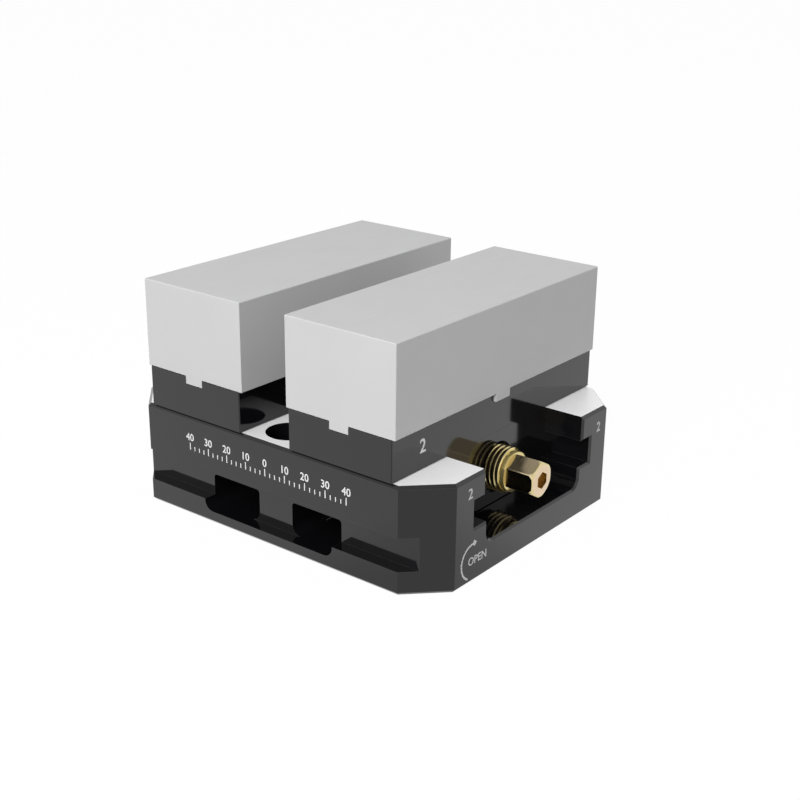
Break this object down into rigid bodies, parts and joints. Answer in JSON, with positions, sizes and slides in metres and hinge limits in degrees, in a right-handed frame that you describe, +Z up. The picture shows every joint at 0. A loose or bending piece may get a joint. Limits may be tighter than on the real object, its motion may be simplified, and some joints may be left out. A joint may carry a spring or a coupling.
{
  "type": "self-centering vise",
  "caption": "Low self-centering machine vise with plain soft jaws that a left- and right-hand spindle closes on a slotted steel body.",
  "frame": {"origin": "centre of the body's bottom face", "axes": "+X along the spindle towards its hexagon drive, +Y across the jaws, +Z up from the bottom face"},
  "size_m": [0.1588, 0.13, 0.0936],
  "materials": {
    "black_oxide": "glossy",
    "gold_coating": "polished",
    "satin_aluminium": "satin",
    "bronze": "satin",
    "screw_steel": "satin",
    "ground_steel": "satin"
  },
  "bodies": {
    "base": {"vise_body": "black_oxide", "bearing_block": "black_oxide", "bearing_cap": "black_oxide", "thrust_washer_left": "bronze", "thrust_washer_right": "bronze", "block_screw_front": "screw_steel", "cap_screw_front": "screw_steel", "bearing_dowel_front": "ground_steel", "block_screw_back": "screw_steel", "cap_screw_back": "screw_steel", "bearing_dowel_back": "ground_steel"},
    "spindle_body": {"spindle": "gold_coating"},
    "left_jaw": {"base_jaw_left": "black_oxide", "soft_jaw_left": "satin_aluminium", "jaw_screw_front_inner_left": "screw_steel", "jaw_screw_front_outer_left": "screw_steel", "jaw_screw_back_inner_left": "screw_steel", "jaw_screw_back_outer_left": "screw_steel"},
    "right_jaw": {"base_jaw_right": "black_oxide", "soft_jaw_right": "satin_aluminium", "jaw_screw_front_inner_right": "screw_steel", "jaw_screw_front_outer_right": "screw_steel", "jaw_screw_back_inner_right": "screw_steel", "jaw_screw_back_outer_right": "screw_steel"}
  },
  "joints": [
    {"name": "left_jaw_slide", "type": "slide", "parent": "base", "child": "left_jaw", "axis": [-1, 0, 0], "range_m": [-0.01115, 0.016]},
    {"name": "right_jaw_slide", "type": "slide", "parent": "base", "child": "right_jaw", "axis": [1, 0, 0], "range_m": [-0.01116, 0.01601]},
    {"name": "spindle_turn", "type": "hinge", "parent": "base", "child": "spindle_body", "pos_m": [0, 0, 0.0275], "axis": [-1, 0, 0], "range_deg": [-2009, 2882]}
  ],
  "couplings": [
    {"joint": "spindle_turn", "follows": "left_jaw_slide", "rad_per_m": 3141.6},
    {"joint": "right_jaw_slide", "follows": "left_jaw_slide", "ratio": 1}
  ]
}
